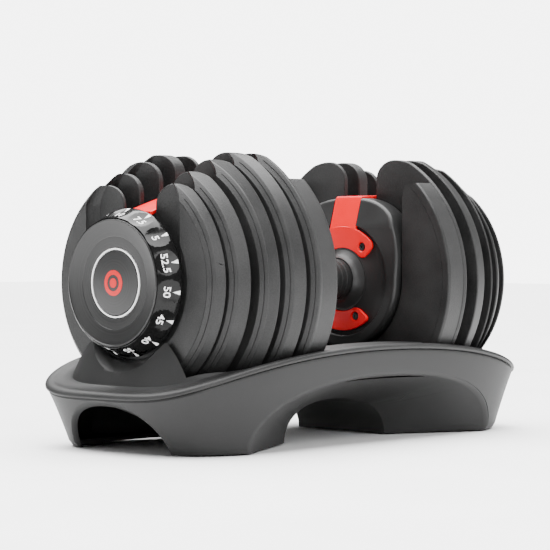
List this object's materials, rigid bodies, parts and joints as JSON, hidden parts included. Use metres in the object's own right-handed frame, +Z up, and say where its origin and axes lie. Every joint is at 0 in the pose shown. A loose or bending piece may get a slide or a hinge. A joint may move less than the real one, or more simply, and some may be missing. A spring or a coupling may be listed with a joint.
{
  "type": "adjustable dumbbell",
  "caption": "Adjustable dumbbell in its base: a handle with a numbered dial at each end picks up slotted round plates; the base is a low arched tray.",
  "frame": {"origin": "middle of the footprint on the floor, under the rubber feet", "axes": "+X along the handle, +Y across it, +Z up"},
  "size_m": [0.43, 0.2194, 0.226],
  "materials": {
    "base_plastic": "satin",
    "skirt_plastic": "satin",
    "foot_rubber": "matte",
    "bar_steel": "brushed",
    "grip_rubber": "matte",
    "guard_plastic": "matte",
    "red_plastic": "semi-gloss",
    "screw_steel": "brushed",
    "plate_plastic": "fine grained",
    "dial_silver": "satin metallic",
    "gloss_black": "gloss",
    "white_trim": "gloss",
    "button_silver": "satin metallic"
  },
  "bodies": {
    "base": {"base_tray": "base_plastic", "base_skirt": "skirt_plastic", "base_foot_1": "foot_rubber", "base_foot_2": "foot_rubber", "base_foot_3": "foot_rubber", "base_foot_4": "foot_rubber"},
    "handle": {"handle_bar": "bar_steel", "handle_grip": "grip_rubber", "guard_left": "guard_plastic", "bridge_left": "red_plastic", "clip_left": "red_plastic", "dial_bolt_left": "screw_steel", "lock_spring_left": "screw_steel", "bridge_screw_left_1": "screw_steel", "bridge_screw_left_2": "screw_steel", "clip_screw_left_1": "screw_steel", "clip_screw_left_2": "screw_steel", "guard_right": "guard_plastic", "bridge_right": "red_plastic", "clip_right": "red_plastic", "dial_bolt_right": "screw_steel", "lock_spring_right": "screw_steel", "bridge_screw_right_1": "screw_steel", "bridge_screw_right_2": "screw_steel", "clip_screw_right_1": "screw_steel", "clip_screw_right_2": "screw_steel"},
    "dial_left": {"selector_sleeve_left": "screw_steel", "selector_disc_left_1": "guard_plastic", "selector_disc_left_2": "guard_plastic", "selector_disc_left_3": "guard_plastic", "selector_disc_left_4": "guard_plastic", "selector_disc_left_5": "guard_plastic", "dial_left": "dial_silver", "number_ring_left": "gloss_black", "trim_ring_left": "white_trim", "dial_button_left": "button_silver"},
    "lock_left": {"lock_pin_left": "screw_steel"},
    "plate_left_1": {"plate_left_1": "plate_plastic"},
    "plate_left_2": {"plate_left_2": "plate_plastic"},
    "plate_left_3": {"plate_left_3": "plate_plastic"},
    "plate_left_4": {"plate_left_4": "plate_plastic"},
    "plate_left_5": {"plate_left_5": "plate_plastic"},
    "dial_right": {"selector_sleeve_right": "screw_steel", "selector_disc_right_1": "guard_plastic", "selector_disc_right_2": "guard_plastic", "selector_disc_right_3": "guard_plastic", "selector_disc_right_4": "guard_plastic", "selector_disc_right_5": "guard_plastic", "dial_right": "dial_silver", "number_ring_right": "gloss_black", "trim_ring_right": "white_trim", "dial_button_right": "button_silver"},
    "lock_right": {"lock_pin_right": "screw_steel"},
    "plate_right_1": {"plate_right_1": "plate_plastic"},
    "plate_right_2": {"plate_right_2": "plate_plastic"},
    "plate_right_3": {"plate_right_3": "plate_plastic"},
    "plate_right_4": {"plate_right_4": "plate_plastic"},
    "plate_right_5": {"plate_right_5": "plate_plastic"}
  },
  "joints": [
    {"name": "handle_lift", "type": "slide", "parent": "base", "child": "handle", "axis": [0, 0, 1], "range_m": [0, 0.25]},
    {"name": "dial_left_turn", "type": "hinge", "parent": "handle", "child": "dial_left", "pos_m": [-0.19, 0, 0.127], "axis": [1, 0, 0], "continuous": true},
    {"name": "lock_left_drop", "type": "slide", "parent": "handle", "child": "lock_left", "axis": [0, 0, -1], "range_m": [0, 0.005]},
    {"name": "plate_left_1_lift", "type": "slide", "parent": "base", "child": "plate_left_1", "axis": [0, 0, 1], "range_m": [0, 0.25]},
    {"name": "plate_left_2_lift", "type": "slide", "parent": "base", "child": "plate_left_2", "axis": [0, 0, 1], "range_m": [0, 0.25]},
    {"name": "plate_left_3_lift", "type": "slide", "parent": "base", "child": "plate_left_3", "axis": [0, 0, 1], "range_m": [0, 0.25]},
    {"name": "plate_left_4_lift", "type": "slide", "parent": "base", "child": "plate_left_4", "axis": [0, 0, 1], "range_m": [0, 0.25]},
    {"name": "plate_left_5_lift", "type": "slide", "parent": "base", "child": "plate_left_5", "axis": [0, 0, 1], "range_m": [0, 0.25]},
    {"name": "dial_right_turn", "type": "hinge", "parent": "handle", "child": "dial_right", "pos_m": [0.19, 0, 0.127], "axis": [1, 0, 0], "continuous": true},
    {"name": "lock_right_drop", "type": "slide", "parent": "handle", "child": "lock_right", "axis": [0, 0, -1], "range_m": [0, 0.005]},
    {"name": "plate_right_1_lift", "type": "slide", "parent": "base", "child": "plate_right_1", "axis": [0, 0, 1], "range_m": [0, 0.25]},
    {"name": "plate_right_2_lift", "type": "slide", "parent": "base", "child": "plate_right_2", "axis": [0, 0, 1], "range_m": [0, 0.25]},
    {"name": "plate_right_3_lift", "type": "slide", "parent": "base", "child": "plate_right_3", "axis": [0, 0, 1], "range_m": [0, 0.25]},
    {"name": "plate_right_4_lift", "type": "slide", "parent": "base", "child": "plate_right_4", "axis": [0, 0, 1], "range_m": [0, 0.25]},
    {"name": "plate_right_5_lift", "type": "slide", "parent": "base", "child": "plate_right_5", "axis": [0, 0, 1], "range_m": [0, 0.25]}
  ],
  "couplings": [
    {"joint": "lock_left_drop", "follows": "handle_lift", "ratio": 0.02},
    {"joint": "plate_left_1_lift", "follows": "handle_lift", "ratio": 1},
    {"joint": "plate_left_2_lift", "follows": "handle_lift", "ratio": 1},
    {"joint": "plate_left_3_lift", "follows": "handle_lift", "ratio": 1},
    {"joint": "plate_left_4_lift", "follows": "handle_lift", "ratio": 1},
    {"joint": "plate_left_5_lift", "follows": "handle_lift", "ratio": 1},
    {"joint": "lock_right_drop", "follows": "handle_lift", "ratio": 0.02},
    {"joint": "plate_right_1_lift", "follows": "handle_lift", "ratio": 1},
    {"joint": "plate_right_2_lift", "follows": "handle_lift", "ratio": 1},
    {"joint": "plate_right_3_lift", "follows": "handle_lift", "ratio": 1},
    {"joint": "plate_right_4_lift", "follows": "handle_lift", "ratio": 1},
    {"joint": "plate_right_5_lift", "follows": "handle_lift", "ratio": 1}
  ]
}
